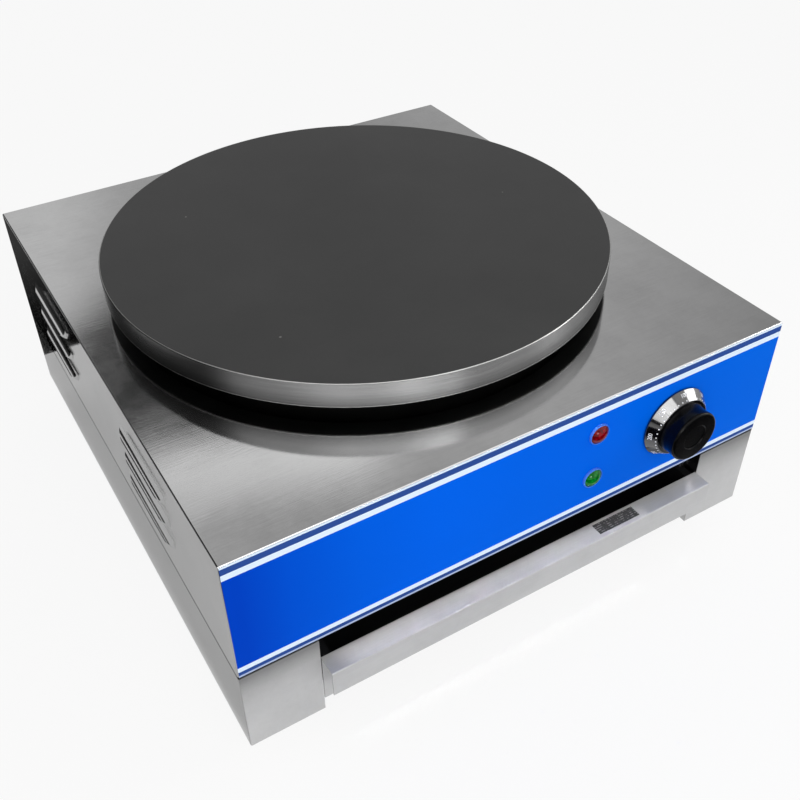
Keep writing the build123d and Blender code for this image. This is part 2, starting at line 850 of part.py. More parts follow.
def bulb_clip():
    """Saddle strap that holds the bulb against the plate."""
    reach = bulb_radius + contact_gap
    half = clip_width / 2
    low = web_z - 2 * reach - clip_strap
    clip = block(-half, half, bulb_y - reach - clip_strap, bulb_y + reach + clip_strap, low, web_z)
    ears = reach + clip_strap + clip_ear
    clip += block(-half, half, bulb_y - ears, bulb_y + ears, web_z - clip_strap, web_z)
    clip -= block(-half - over, half + over, bulb_y - reach, bulb_y + reach, web_z - reach, web_z + over)
    clip -= rod_x(bulb_y, web_z - reach, reach, -half - over, half + over)
    for y in clip_screw_ys():
        clip -= rod_z(0, y, small_screw + hole_gap, web_z - clip_strap - over, web_z + over)
    return clip


def clip_screws():
    top = web_z - clip_strap
    screws = []
    for y in clip_screw_ys():
        head = rod_z(0, y, small_head, top - small_head_height, top)
        screws.append(head + rod_z(0, y, small_screw, top, web_z + stud_depth - tip_gap))
    return screws


def sensor_bulb():
    bulb = rod_x(bulb_y, bulb_z, bulb_radius, -bulb_length / 2, bulb_length / 2)
    return fillet(bulb.edges(), bulb_round)


def capillary_tube():
    """Thin copper tube from the bulb, down through the pan, to the thermostat."""
    turn_x = capillary_x()
    run_z = leg_end_z + capillary_rise
    end_x = knob_x - thermostat_width / 4
    end_z = knob_z + thermostat_height / 4
    return tube([
        (bulb_length / 2, bulb_y, bulb_z),
        (turn_x, bulb_y, bulb_z),
        (turn_x, bulb_y, run_z),
        (end_x, thermostat_back + 5 * capillary_bend, run_z),
        (end_x, thermostat_back + 2.5 * capillary_bend, end_z),
        (end_x, thermostat_back, end_z),
    ], capillary_radius, capillary_bend)


def thermostat_body():
    """Capillary thermostat: case, threaded boss and two spade terminals."""
    half_w = thermostat_width / 2
    half_h = thermostat_height / 2
    y0 = front + sheet
    case = block(knob_x - half_w, knob_x + half_w, y0, thermostat_back, knob_z - half_h, knob_z + half_h)
    case = fillet(case.edges().filter_by(Axis.Y), thermostat_corner)
    case += rod_y(knob_x, knob_z, boss_radius, front - boss_proud, y0)
    for x in terminal_xs():
        spade = Box(spade_width, spade_length, spade_thickness)
        case += Pos(x, thermostat_back + spade_length / 2, knob_z - spade_drop) * spade
    socket_end = front + shaft_behind + slide_gap
    case -= rod_y(knob_x, knob_z, shaft_radius + running_gap, front - boss_proud - over, socket_end)
    for x in thermostat_screw_xs():
        case -= rod_y(x, knob_z, small_screw + running_gap, y0 - over, y0 + thermostat_screw_depth)
    return case


def terminal_xs():
    return knob_x - spade_half_pitch, knob_x + spade_half_pitch


def thermostat_screws():
    """Heads lie on the panel, under the knob's skirt."""
    screws = []
    for x in thermostat_screw_xs():
        y = front - overlay_thickness
        head = rod_y(x, knob_z, small_head, y - small_head_height, y)
        tip = front + sheet + thermostat_screw_depth - 2 * hole_gap
        screws.append(head + rod_y(x, knob_z, small_screw, y, tip))
    return screws


def thermostat_shaft():
    reach = overlay_thickness + knob_gap + bushing_setback + bushing_length - slide_gap
    return rod_y(knob_x, knob_z, shaft_radius, front - reach, front + shaft_behind)


# ---------------------------------------------------------------------- knob
def knob_frame():
    """Frame at the back of the knob's skirt, local Z out of the panel."""
    return on_panel(knob_x, knob_z) * Pos(0, 0, overlay_thickness + knob_gap)


def knob_skirt():
    """Conical dial skirt with a flat web that the grip clamps."""
    slope = (skirt_radius - skirt_top_radius) / (skirt_height - skirt_edge)
    web = skirt_height - skirt_wall
    inner_top = skirt_top_radius - skirt_lean
    profile = [
        (hub_radius + hole_gap, web),
        (inner_top, web),
        (inner_top + slope * web, 0),
        (skirt_radius, 0),
        (skirt_radius, skirt_edge),
        (skirt_top_radius, skirt_height),
        (hub_radius + hole_gap, skirt_height),
    ]
    return knob_frame() * turned(profile, (0, 0, 0, skirt_round, skirt_round, skirt_round, 0))


def knob_grip():
    """Moulded grip: hub, waist and a face with a shallow round recess."""
    floor = knob_depth - recess_depth
    profile = [
        (0, bushing_setback + bushing_length),
        (bushing_radius, bushing_setback + bushing_length),
        (bushing_radius, bushing_setback),
        (hub_radius, bushing_setback),
        (hub_radius, skirt_height),
        (grip_foot_radius, skirt_height),
        (grip_waist_radius, skirt_height + grip_waist_rise),
        (grip_face_radius, knob_depth),
        (recess_radius, knob_depth),
        (recess_radius - recess_depth / 2, floor),
        (0, floor),
    ]
    rounds = (grip_foot_round, grip_flare, grip_round, recess_round, recess_round)
    grip = turned(profile, (0, 0, 0, 0, 0) + rounds + (0,))
    hole = Pos(0, -(grip_foot_radius + bushing_radius) / 2, set_screw_z()) * Rot(90, 0, 0)
    length = grip_foot_radius - bushing_radius + 2 * over
    hole = hole * Cylinder(set_screw_radius + hole_gap, length)
    return knob_frame() * (grip - hole)


def set_screw_z():
    return skirt_height + set_screw_rise


def knob_bushing():
    """Metal insert on the shaft, tapped for the set screw."""
    top = bushing_setback + bushing_length
    sleeve = ring_z(0, 0, bushing_radius, shaft_radius + shaft_fit, bushing_setback, top)
    tapped = Pos(0, -bushing_radius, set_screw_z()) * Rot(90, 0, 0)
    sleeve -= tapped * Cylinder(set_screw_radius + running_gap, 2 * (bushing_radius - shaft_radius) + over)
    return knob_frame() * sleeve


def knob_set_screw():
    middle = shaft_radius + contact_gap + set_screw_length / 2
    screw = Pos(0, -middle, set_screw_z()) * Rot(90, 0, 0) * Cylinder(set_screw_radius, set_screw_length)
    return knob_frame() * screw


# --------------------------------------------------------------------- lamps
def lamp_frame(z):
    return on_panel(lamp_x, z) * Pos(0, 0, overlay_thickness)


def lamp_lens(z):
    """Domed lens on a short cylindrical base."""
    dome = TangentArc((0, 0, lens_rise), (lens_radius, 0, lens_base), tangent=(1, 0, 0))
    outline = [
        Line((0, 0, 0), (lens_radius, 0, 0)),
        Line((lens_radius, 0, 0), (lens_radius, 0, lens_base)),
        dome,
        Line((0, 0, lens_rise), (0, 0, 0)),
    ]
    return lamp_frame(z) * revolve(make_face(outline), Axis.Z)


def lamp_bezel(z):
    inside = lens_radius + contact_gap
    ring = turned([
        (inside, 0),
        (bezel_radius, 0),
        (bezel_radius, bezel_edge),
        (bezel_radius - bezel_slope, bezel_height),
        (inside, bezel_height),
    ], (0, 0, bezel_round, bezel_round, 0))
    return lamp_frame(z) * ring


def lamp_body(z):
    """Lamp holder through the panel, with two spade terminals."""
    body = Pos(0, 0, -lamp_body_length / 2) * Cylinder(lamp_body_radius, lamp_body_length)
    for x in (-lamp_spade_half_pitch, lamp_spade_half_pitch):
        spade = Box(spade_thickness, lamp_spade_width, spade_length)
        body += Pos(x, 0, -lamp_body_length - spade_length / 2) * spade
    return lamp_frame(z) * body


def lamp_nut(z):
    behind = overlay_thickness + sheet + lamp_nut_height
    return lamp_frame(z) * nut_z(0, 0, lamp_nut_flats, lamp_body_radius, -behind, -behind + lamp_nut_height)


# ------------------------------------------------------------- rear and mains
def cable_gland():
    """Hexagonal gland with a domed nose and a bore for the supply cable."""
    body = extrude(RegularPolygon(gland_hex / 2, 6, major_radius=False), gland_hex_height)
    nose = Pos(0, 0, (gland_hex_height + gland_reach) / 2)
    nose = nose * Cylinder(gland_nose_radius, gland_reach - gland_hex_height)
    nose = fillet(nose.edges().group_by(Axis.Z)[-1], gland_nose_round)
    stem = Pos(0, 0, -gland_stem / 2) * Cylinder(gland_stem_radius, gland_stem)
    bore = Cylinder(gland_bore, 2 * (gland_reach + gland_stem))
    return on_rear(gland_x, rear_entry_z) * (body + nose + stem - bore)


def gland_nut():
    frame = on_rear(gland_x, rear_entry_z)
    return frame * nut_z(0, 0, gland_hex, gland_stem_radius, -sheet - gland_nut_height, -sheet)


def bonding_stud():
    stud = Cylinder(bond_stud_radius, bond_stud_reach + bond_stud_tail)
    stud = Pos(0, 0, (bond_stud_reach - bond_stud_tail) / 2) * chamfer(stud.edges(), bond_stud_chamfer)
    nut_top = washer_thickness + foot_nut
    core = bond_stud_radius - bond_groove_depth
    stud -= ring_z(0, 0, bond_stud_radius + over, core, nut_top, nut_top + bond_groove_width)
    return on_rear(bond_x, rear_entry_z) * stud


def bonding_nuts():
    frame = on_rear(bond_x, rear_entry_z)
    washer = ring_z(0, 0, 2 * bond_stud_radius, bond_stud_radius + hole_gap, 0, washer_thickness)
    outside = nut_z(0, 0, foot_flats, bond_stud_radius, washer_thickness, washer_thickness + foot_nut)
    inside = nut_z(0, 0, foot_flats, bond_stud_radius, -sheet - foot_nut, -sheet)
    return [frame * washer, frame * outside, frame * inside]


def block_screw_xs():
    return block_x - block_width / 3, block_x + block_width / 3


def pole_xs():
    return block_x - block_width / 3, block_x, block_x + block_width / 3


def terminal_block():
    """Ceramic block with three poles, open at both ends for the wires."""
    y0 = block_y - block_depth / 2
    y1 = block_y + block_depth / 2
    body = block(block_x - block_width / 2, block_x + block_width / 2, y0, y1, roof_z, roof_z + block_height)
    for x in pole_xs():
        body -= rod_y(x, wire_z, pole_radius, y0 - over, y1 + over)
        for y in (block_y - block_depth / 4, block_y + block_depth / 4):
            body -= rod_z(x, y, pole_radius + pole_screw_gap, wire_z, roof_z + block_height + over)
    for x in block_screw_xs():
        tip = roof_z + block_screw_depth + tip_gap
        body -= rod_z(x, block_y, small_screw + hole_gap, roof_z - over, tip)
    return body


def terminal_screws():
    """Six clamping screws over the poles."""
    top = roof_z + block_height - pole_screw_drop
    screws = []
    for x in pole_xs():
        for y in (block_y - block_depth / 4, block_y + block_depth / 4):
            screws.append(rod_z(x, y, pole_radius, wire_z + wire_radius + contact_gap, top))
    return screws


def block_screws():
    screws = []
    for x in block_screw_xs():
        head = rod_z(x, block_y, small_head, roof_z - sheet - small_head_height, roof_z - sheet)
        screws.append(head + rod_z(x, block_y, small_screw, roof_z - sheet, roof_z + block_screw_depth))
    return screws


def internal_wires():
    """Insulated wires between the terminal block, thermostat, elements and lamps."""
    first, second, earth = pole_xs()
    front_grip = block_y - block_depth / 2 + pole_grip
    front_lead = block_y - block_depth / 2 - wire_lead
    back_grip = block_y + block_depth / 2 - pole_grip
    back_lead = block_y + block_depth / 2 + wire_lead / 2
    spade_y = thermostat_back + spade_length + wire_end_gap
    spade_z = knob_z - spade_drop
    low_x, high_x = terminal_xs()
    side_x = high_x + wire_lead
    link_z = leg_end_z - link_thickness / 2
    link_x = (leg_x(element_radii[1]) + leg_x(element_radii[2])) / 2
    link_end = leg_half_spacing + link_width / 2 + wire_end_gap
    live_in = [
        (high_x, spade_y, spade_z), (high_x, spade_y + wire_lead, spade_z),
        (side_x, spade_y + 3 * wire_lead, wire_z), (side_x, front_lead - 2 * wire_lead, wire_z),
        (first, front_lead, wire_z), (first, front_grip, wire_z),
    ]
    live_out = [
        (low_x, spade_y, spade_z), (low_x, spade_y + 2 * wire_lead, spade_z),
        (link_x, plate_y - link_end - 2 * wire_lead, link_z), (link_x, plate_y - link_end, link_z),
    ]
    neutral = [
        (second, front_grip, wire_z), (second, front_lead, wire_z),
        (link_x, plate_y + link_end + 2 * wire_lead, link_z), (link_x, plate_y + link_end, link_z),
    ]
    stud_end = back + sheet - bond_stud_tail
    bonding = [
        (earth, back_grip, wire_z), (earth, back_lead, wire_z),
        (bond_x, stud_end - wire_lead / 2, rear_entry_z), (bond_x, stud_end, rear_entry_z),
    ]
    wires = [tube(route, wire_radius, wire_bend) for route in (live_in, live_out, neutral, bonding)]
    case_x = knob_x - thermostat_width / 2
    lamp_end = front - overlay_thickness + lamp_body_length + spade_length + wire_end_gap
    meet_y = thermostat_back - spade_length
    for z, meet_z in zip(lamp_heights(), (knob_z + lamp_half_spacing / 2, knob_z - lamp_half_spacing / 2)):
        wires.append(tube([
            (lamp_x, lamp_end, z), (lamp_x, lamp_end + wire_lead, z),
            (case_x - wire_lead, meet_y, meet_z), (case_x - wire_end_gap, meet_y, meet_z),
        ], wire_radius, wire_bend / 2))
    return wires


# ---------------------------------------------------------------------- tray
def tray_front():
    """Front wall of the tray, folded forward into a ledge and down into a lip."""
    inner = tray_recess
    wall = inner + sheet
    low = tray_bottom_z
    lip_z = ledge_z - lip_height
    corners = [
        (wall, low), (wall, ledge_z), (-ledge_reach, ledge_z), (-ledge_reach, lip_z),
        (-ledge_reach + sheet, lip_z), (-ledge_reach + sheet, ledge_z - sheet),
        (inner, ledge_z - sheet), (inner, low),
    ]
    inside_round = bend_radius - sheet
    radii = (0, ledge_back_round, bend_radius, 0, 0, inside_round, inside_round, 0)
    points = [(-tray_half_width, front + y, z) for y, z in corners]
    face = make_face(FilletPolyline(*points, radius=radii, close=True))
    return extrude(face, 2 * tray_half_width, dir=(1, 0, 0))


def tray_pan():
    """Open pan behind the front, with a rim along each side."""
    half = pan_half_width
    pan = block(-half, half, pan_front, pan_back, pan_bottom_z, pan_top_z)
    pan -= block(
        -half + sheet, half - sheet, pan_front + sheet, pan_back - sheet,
        pan_bottom_z + sheet, pan_top_z + over,
    )
    rim = block(half, half + pan_rim, pan_front, pan_back, pan_top_z - sheet, pan_top_z)
    return pan + rim + mirrored(rim)


def runner():
    """Right-hand slide: web, shelf under the pan, lip over its rim, foot and stop."""
    inside = pan_half_width + pan_rim + runner_side_gap
    outside = inside + runner_sheet
    shelf_z = pan_bottom_z - slide_gap
    lip_z = pan_top_z + slide_gap
    low = base_z + 2 * sheet
    y0 = front + runner_start
    y1 = pan_back + slide_gap + runner_sheet
    channel = block(inside, outside, y0, y1, low, lip_z + runner_sheet)
    channel += block(outside - runner_shelf, outside, y0, y1, shelf_z - runner_sheet, shelf_z)
    channel += block(outside - runner_lip, outside, y0, y1, lip_z, lip_z + runner_sheet)
    channel += block(outside, outside + runner_foot, y0, y1, low, low + runner_sheet)
    stop = block(outside - runner_shelf, outside, y1 - runner_sheet, y1, shelf_z, lip_z)
    return channel + stop


def rating_plate():
    """Blank foil plate on the ledge."""
    label_x = right - label_inset
    middle = front - label_setback
    half_w = label_width / 2
    half_d = label_depth / 2
    return block(
        label_x - half_w, label_x + half_w, middle - half_d, middle + half_d,
        ledge_z, ledge_z + label_thickness,
    )


# --------------------------------------------------------------------- build
def build():
    os.makedirs("parts", exist_ok=True)
    save("top_cover", top_cover())
    save("panel_overlay", panel_overlay())
    left_side = base_side()
    save("base_side_left", left_side)
    save("base_side_right", mirrored(left_side))
    save("bottom_plate", bottom_plate())
    save("tray_bay_roof", tray_bay_roof())
    save("rear_cover", rear_cover())
    save("rear_screws", *rear_screws())
    corners = ("front_left", "rear_left", "front_right", "rear_right")
    for name, (x, y) in zip(corners, foot_places()):
        save(f"foot_{name}", foot(x, y))
    save("foot_screws", *foot_screws())
    save("foot_nuts", *foot_nuts())
    save("griddle_plate", griddle_plate())
    save("collar_ring", collar_ring())
    save("plate_gasket", plate_gasket())
    save("heat_pan", heat_pan())
    save("collar_screws", *collar_screws())
    save("collar_nuts", *collar_nuts())
    for name, radius in zip(element_names, element_radii):
        save(name, element(radius))
    save("element_clamp", element_clamp())
    save("insulation_disc", insulation_disc())
    save("plate_studs", *plate_studs())
    save("plate_nuts", *plate_nuts())
    save("plate_washers", *plate_washers())
    save("element_bushes", *element_bushes())
    save("element_links", *element_links())
    save("link_nuts", *link_nuts())
    save("sensor_bulb", sensor_bulb())
    save("bulb_clip", bulb_clip())
    save("clip_screws", *clip_screws())
    save("capillary_tube", capillary_tube())
    save("thermostat_body", thermostat_body())
    save("thermostat_screws", *thermostat_screws())
    save("thermostat_shaft", thermostat_shaft())
    save("knob_skirt", knob_skirt())
    save("knob_grip", knob_grip())
    save("knob_bushing", knob_bushing())
    save("knob_set_screw", knob_set_screw())
    red_z, green_z = lamp_heights()
    save("red_lens", lamp_lens(red_z))
    save("green_lens", lamp_lens(green_z))
    save("lamp_bezels", *[lamp_bezel(z) for z in lamp_heights()])
    save("lamp_bodies", *[lamp_body(z) for z in lamp_heights()])
    save("lamp_nuts", *[lamp_nut(z) for z in lamp_heights()])
    save("cable_gland", cable_gland())
    save("gland_nut", gland_nut())
    save("bonding_stud", bonding_stud())
    save("bonding_nuts", *bonding_nuts())
    save("terminal_block", terminal_block())
    save("terminal_screws", *terminal_screws())
    save("block_screws", *block_screws())
    save("internal_wires", *internal_wires())
    save("tray_front", tray_front())
    save("tray_pan", tray_pan())
    right_runner = runner()
    save("runner_right", right_runner)
    save("runner_left", mirrored(right_runner))
    save("rating_plate", rating_plate())


build()
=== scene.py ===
"""Looks of the electric crepe maker: materials, the printed dial, stage, light and camera."""
import math

import bmesh
import bpy
from mathutils import Matrix, Vector

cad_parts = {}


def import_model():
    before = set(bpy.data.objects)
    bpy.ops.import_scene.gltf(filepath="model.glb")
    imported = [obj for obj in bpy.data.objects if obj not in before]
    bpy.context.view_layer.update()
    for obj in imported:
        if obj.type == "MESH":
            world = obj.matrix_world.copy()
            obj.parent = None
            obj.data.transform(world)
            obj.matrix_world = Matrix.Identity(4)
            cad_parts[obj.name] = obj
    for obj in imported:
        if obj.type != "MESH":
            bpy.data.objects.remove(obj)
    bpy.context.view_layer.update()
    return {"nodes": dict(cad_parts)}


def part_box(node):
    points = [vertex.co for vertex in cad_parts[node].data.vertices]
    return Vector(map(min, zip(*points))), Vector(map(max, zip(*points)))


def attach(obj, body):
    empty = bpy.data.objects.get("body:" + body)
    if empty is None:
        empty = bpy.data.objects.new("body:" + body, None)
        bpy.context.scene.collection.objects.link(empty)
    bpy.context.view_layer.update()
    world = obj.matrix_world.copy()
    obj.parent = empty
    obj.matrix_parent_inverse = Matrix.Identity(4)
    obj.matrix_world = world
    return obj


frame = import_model()
nodes = frame["nodes"]

# ------------------------------------------------------------ sizes, in metres
MM = 0.001
deck_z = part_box("top_cover")[1].z
body_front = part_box("base_side_left")[0].y
film_low, film_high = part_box("panel_overlay")
plate_low, plate_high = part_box("griddle_plate")
skirt_low, skirt_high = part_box("knob_skirt")
plate_centre = (plate_low + plate_high) / 2
plate_radius = (plate_high.x - plate_low.x) / 2
knob_centre = (skirt_low + skirt_high) / 2

SEAM_Z = 99 * MM  # middle of the gap between the cover and the base
PILLAR_SHADE = 50 * MM  # height of the painted shade that darkens the front pillars towards the seam

PLATE_TOP = 2 * MM  # the seasoned top reaches this far down; below it the plate is dark
RIM_START = plate_radius - 0.9 * MM  # the bright rim begins here and is full at RIM_FULL
RIM_FULL = plate_radius - 0.6 * MM
RING_PITCH = 1.1 * MM  # tool marks on the plate's top
RIM_SHADE_RISE = 11 * MM  # painted shade: the rim grows darker over this height towards its lower edge
EDGE_WEAR_AND_SHEEN = 0.3 * MM  # bright band at the edges of the plate's rim: partly wear, partly painted highlight
LABEL_ROW = 1.9 * MM

# the knob's skirt is a cone; radius and distance out of the panel at its back and front edge
SKIRT_BACK = (29.2 * MM, 1.2 * MM)
SKIRT_FRONT = (23.3 * MM, 8.4 * MM)
CONE_ANGLE = math.atan2(SKIRT_FRONT[1] - SKIRT_BACK[1], SKIRT_BACK[0] - SKIRT_FRONT[0])
INK_RISE = 0.05 * MM
NUMBER_RING = 26.9 * MM
NUMBER_SIZE = 4.3 * MM
NUMBER_WEIGHT = 0.06 * MM
DOT_RING = 24.2 * MM
DOT_RADIUS = 0.55 * MM
DIAL_TOP = 300  # last number on the dial
NUMBER_STEP = 50
STEP_DEGREES = 45  # turn from one number to the next
DOT_DEGREES = 9
FIRST_MARK = 90  # clockwise from straight up, in degrees

# ------------------------------------------------------- colours and grey levels, linear
WHITE_INK = (0.74, 0.86, 1.0)
STRIPE_BLUE = (0.030, 0.080, 0.31)
PALE_LINE = (0.42, 0.50, 0.72)
FIELD_BLUES_PAINTED_SHADE = [  # the blue field darkens towards the left end as painted shade; stops along the panel
    (0.02, (0.0, 0.055, 0.56)), (0.09, (0.0, 0.084, 0.67)), (0.20, (0.0, 0.110, 0.76)),
    (0.32, (0.0, 0.122, 0.82)), (1.0, (0.0, 0.136, 0.80)),
]
PILLAR_PAINTED_SHADE_TONES = [  # painted shade on the pillars: share of the steel's colour, from the seam down
    (0.0, 0.40), (0.08, 0.43), (0.18, 0.57), (0.38, 0.79), (0.58, 0.92), (1.0, 1.0),
]
FLOOR_GREY = 0.93
FLOOR_WHITE = 0.88  # share of plain white in the floor, as the camera sees it
FLOOR_MIRRORED = 0.4  # the same share in reflections
DIFFUSE_ROOM = 0.48  # level of the room on dull surfaces
# The room that reflections see. Behind the object, by direction in degrees from +X towards +Y:
BACK_WALL = [
    (0, 0.62), (12, 0.50), (22, 0.30), (30, 0.28), (38, 0.35), (46, 0.46), (54, 0.46),
    (62, 0.38), (70, 0.40), (76, 0.46), (81, 0.67), (86, 0.67), (98, 0.04), (180, 0.03),
]
# In front of the object, from straight left (0) to straight right (1):
FRONT_WALL = [
    (0.0, 0.3), (0.08, 0.72), (0.28, 0.72), (0.38, 0.45), (0.46, 0.25), (0.55, 0.30),
    (0.62, 0.90), (0.80, 0.90), (0.88, 0.78), (1.0, 0.78),
]
FRONT_LEVEL = 1.4  # multiplies FRONT_WALL
# Heights below are the Z of a direction of length 1, and turns are degrees as in BACK_WALL.
SHELF_TONE = 0.03  # a dark shelf at the back, whose lower edge slants up
SHELF_TURNS = (66, 70)
SHELF_LOWER = (0.514, 0.530)
SHELF_UPPER = (0.651, 0.641)
SHELF_BEND = 78.3  # the lower edge rises past this turn,
SHELF_SLOPE = 1.35  # by this much for every 180 degrees
LIGHT_LOWER = (0.645, 0.656)  # a bright strip light above the shelf
LIGHT_UPPER = (0.702, 0.676)
LIGHT_LEFT = (58, 63)
LIGHT_RIGHT = (83, 76)
DARK_CORNER = 0.02  # low and far left in front
DARK_CORNER_TOP = (0.24, 0.12)
DARK_CORNER_SIDE = (-0.42, -0.5)
FRONT_STARTS = (0.08, -0.15)  # Y of a direction, where the back gives way to the front


# ------------------------------------------------------------ material helpers
class Nodes:
    """Short ways to add and link nodes in one node tree."""

    def __init__(self, tree):
        self.tree = tree

    def node(self, kind, **values):
        made = self.tree.nodes.new(kind)
        for key, value in values.items():
            setattr(made, key, value)
        return made

    def link(self, source, target):
        self.tree.links.new(source, target)

    def feed(self, socket, value):
        """Links a socket to another one, or gives it a plain value."""
        if isinstance(value, bpy.types.NodeSocket):
            self.link(value, socket)
        else:
            socket.default_value = value

    def place(self, scale=(1, 1, 1)):
        """Object coordinates in metres, scaled."""
        coords = self.node("ShaderNodeTexCoord")
        mapping = self.node("ShaderNodeMapping")
        mapping.inputs["Scale"].default_value = scale
        self.link(coords.outputs["Object"], mapping.inputs["Vector"])
        return mapping.outputs["Vector"]

    def axis(self, which):
        coords = self.node("ShaderNodeTexCoord")
        split = self.node("ShaderNodeSeparateXYZ")
        self.link(coords.outputs["Object"], split.inputs[0])
        return split.outputs[which]

    def radius(self):
        """Distance from the plate's upright axis."""
        offset = self.node("ShaderNodeVectorMath", operation="SUBTRACT")
        offset.inputs[1].default_value = plate_centre
        self.link(self.place(), offset.inputs[0])
        flat = self.node("ShaderNodeVectorMath", operation="MULTIPLY")
        flat.inputs[1].default_value = (1, 1, 0)
        self.link(offset.outputs[0], flat.inputs[0])
        length = self.node("ShaderNodeVectorMath", operation="LENGTH")
        self.link(flat.outputs[0], length.inputs[0])
        return length.outputs["Value"]

    def noise(self, scale, stretch=(1, 1, 1), detail=4.0, roughness=0.55):
        texture = self.node("ShaderNodeTexNoise")
        texture.inputs["Scale"].default_value = scale
        texture.inputs["Detail"].default_value = detail
        texture.inputs["Roughness"].default_value = roughness
        self.link(self.place(stretch), texture.inputs["Vector"])
        return texture.outputs["Fac"]

    def cells(self, scale):
        """Distance to the nearest point of a scatter of points."""
        texture = self.node("ShaderNodeTexVoronoi", feature="F1")
        texture.inputs["Scale"].default_value = scale
        self.link(self.place(), texture.inputs["Vector"])
        return texture.outputs["Distance"]

    def ramp(self, factor, *stops):
        """Stops are (position, colour or grey level)."""
        made = self.node("ShaderNodeValToRGB")
        elements = made.color_ramp.elements
        while len(elements) < len(stops):
            elements.new(0.5)
        for element, (position, colour) in zip(elements, stops):
            element.position = position
            colour = (colour,) * 3 if isinstance(colour, (int, float)) else colour
            element.color = (*colour, 1)
        self.link(factor, made.inputs["Fac"])
        return made.outputs["Color"]

    def span(self, value, low, high, to_low=0.0, to_high=1.0):
        """Maps low..high to to_low..to_high and holds the ends."""
        made = self.node("ShaderNodeMapRange")
        keys = ("From Min", "From Max", "To Min", "To Max")
        for key, number in zip(keys, (low, high, to_low, to_high)):
            made.inputs[key].default_value = number
        self.link(value, made.inputs["Value"])
        return made.outputs["Result"]

    def mix(self, factor, first, second, blend="MIX"):
        made = self.node("ShaderNodeMix", data_type="RGBA", blend_type=blend)
        self.feed(made.inputs[0], factor)
        for socket, value in ((made.inputs[6], first), (made.inputs[7], second)):
            self.feed(socket, value if isinstance(value, bpy.types.NodeSocket) else (*value, 1))
        return made.outputs[2]

    def math(self, operation, first, second=0.0):
        made = self.node("ShaderNodeMath", operation=operation)
        for socket, value in zip(made.inputs, (first, second)):
            self.feed(socket, value)
        return made.outputs[0]


class Shader(Nodes):
    """A node material with one Principled surface."""

    def __init__(self, name):
        self.material = bpy.data.materials.new(name)
        self.material.use_nodes = True
        super().__init__(self.material.node_tree)
        self.bsdf = self.tree.nodes["Principled BSDF"]
        self.output = self.tree.nodes["Material Output"]

    def set(self, **values):
        for key, value in values.items():
            self.feed(self.bsdf.inputs[key.replace("_", " ")], value)

    def bump(self, height, strength, distance):
        """Adds relief and hands back the finished material."""
        made = self.node("ShaderNodeBump")
        made.inputs["Strength"].default_value = strength
        made.inputs["Distance"].default_value = distance
        self.link(height, made.inputs["Height"])
        self.link(made.outputs["Normal"], self.bsdf.inputs["Normal"])
        return self.material


def scaled(colour, share, lift=0.0):
    return tuple(min(1.0, c * share + lift) for c in colour)


# ------------------------------------------------------------------- materials
def brushed_steel(name, grain, tone, roughness, dull=0.0, pillars=False):
    """Rolled stainless sheet: fine grain along one axis, cloudy gloss, faint handling marks and a band
    of painted shade along the seam. With pillars, the faces at the very front are as dull as the
    tray and darkened towards the seam with painted shade."""
    s = Shader(name)
    lines = s.noise(1500, grain, detail=3)
    cloud = s.noise(9, detail=5, roughness=0.62)
    smudge = s.noise(38, detail=6, roughness=0.7)
    base = s.ramp(cloud, (0.30, tone * 0.90), (0.52, tone), (0.75, tone * 1.07))
    mottled = s.ramp(smudge, (0.32, 0.86), (0.55, 1.0), (0.78, 1.06))
    colour = s.mix(0.5, base, mottled, "MULTIPLY")
    bright_line = (tone * 1.35, tone * 1.35, tone * 1.37)
    colour = s.mix(s.span(lines, 0.3, 0.7, 0.0, 0.16), colour, bright_line)
    # painted shade: a dark band about 2 mm to each side of the seam, wider than the real gap
    off_seam = s.math("ABSOLUTE", s.math("SUBTRACT", s.axis("Z"), SEAM_Z))
    colour = s.mix(s.span(off_seam, 1.0 * MM, 1.9 * MM, 0.85, 0.0), colour, (0, 0, 0))
    rough = s.math("ADD", s.span(cloud, 0.25, 0.75, roughness * 0.75, roughness * 1.4),
                   s.span(smudge, 0.3, 0.8, -0.01, 0.03))
    metallic = 1.0 - dull
    if pillars:
        facing = s.span(s.axis("Y"), body_front + 0.2 * MM, body_front + 0.6 * MM, 1.0, 0.0)
        # painted shade: the front faces of the pillars darken towards the seam
        drop = s.span(s.axis("Z"), SEAM_Z, SEAM_Z - PILLAR_SHADE)
        painted_shade = s.mix(1.0, colour, s.ramp(drop, *PILLAR_PAINTED_SHADE_TONES), "MULTIPLY")
        colour = s.mix(facing, colour, painted_shade)
        metallic = s.span(facing, 0, 1, metallic, 0.25)
        rough = s.mix(facing, rough, (0.5, 0.5, 0.5))
    s.set(Base_Color=colour, Metallic=metallic, Roughness=rough, Anisotropic=0.35)
    return s.bump(lines, 0.05, 0.2 * MM)


def plated(name, darker, lighter, roughness):
    """Cloudy plated or bare metal."""
    s = Shader(name)
    cloud = s.noise(60, detail=4)
    s.set(Base_Color=s.ramp(cloud, (0.3, darker), (0.7, lighter)), Metallic=1.0)
    s.set(Roughness=s.span(cloud, 0.3, 0.7, roughness, roughness + 0.1))
    return s.bump(s.noise(900), 0.04, 0.1 * MM)


def plated_steel(name, tone=0.5, roughness=0.35):
    return plated(name, (tone * 0.88, tone * 0.88, tone * 0.86), (tone, tone, tone * 1.02), roughness)


def tinted_metal(name, tint):
    return plated(name, scaled(tint, 0.895), scaled(tint, 0.955), 0.3)


def moulded(name, colour, roughness, grain=700, depth=0.06, coat=0.0, specular=0.5, ior=1.5):
    """Moulded plastic, enamel or rubber with a fine surface texture."""
    s = Shader(name)
    cloud = s.noise(30, detail=3)
    lighter = scaled(colour, 1.25, 0.001)
    s.set(Base_Color=s.mix(s.span(cloud, 0.35, 0.7), colour, lighter), Metallic=0.0, IOR=ior)
    s.set(Roughness=s.span(cloud, 0.3, 0.7, roughness, roughness + 0.08), Specular_IOR_Level=specular)
    s.set(Coat_Weight=coat, Coat_Roughness=0.05)
    return s.bump(s.noise(grain, detail=2), depth, 0.2 * MM)


